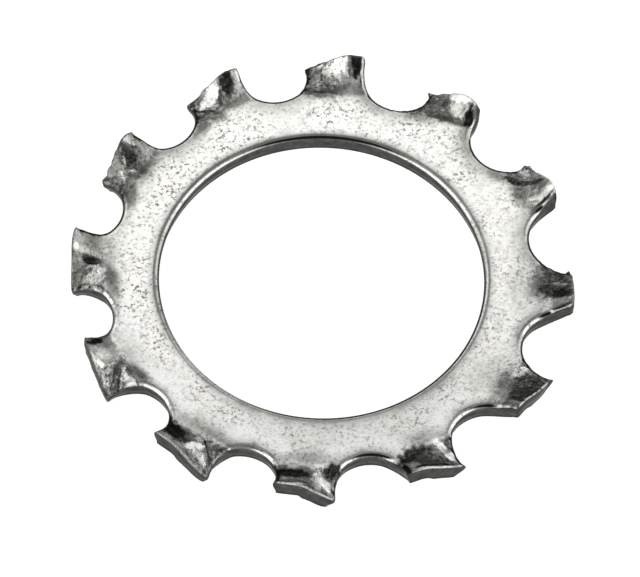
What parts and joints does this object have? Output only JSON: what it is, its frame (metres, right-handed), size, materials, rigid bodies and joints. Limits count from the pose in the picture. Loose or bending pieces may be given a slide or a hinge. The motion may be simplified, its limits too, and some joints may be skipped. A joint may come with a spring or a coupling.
{
  "type": "external tooth lock washer",
  "caption": "Flat spring-steel ring washer whose rim is notched into short teeth, each twisted so its edges bite the nut and the work.",
  "frame": {"origin": "centre of the bore, half-way through the flat ring", "axes": "+Z along the bore's axis, out of the face whose punched edges are rolled over; +X through the middle of one tooth"},
  "size_m": [0.0326, 0.0326, 0.0034],
  "materials": {
    "zinc_plated_steel": "bright zinc plating over spring steel, finely pitted"
  },
  "bodies": {
    "root": {"lock_washer": "zinc_plated_steel"}
  },
  "joints": []
}
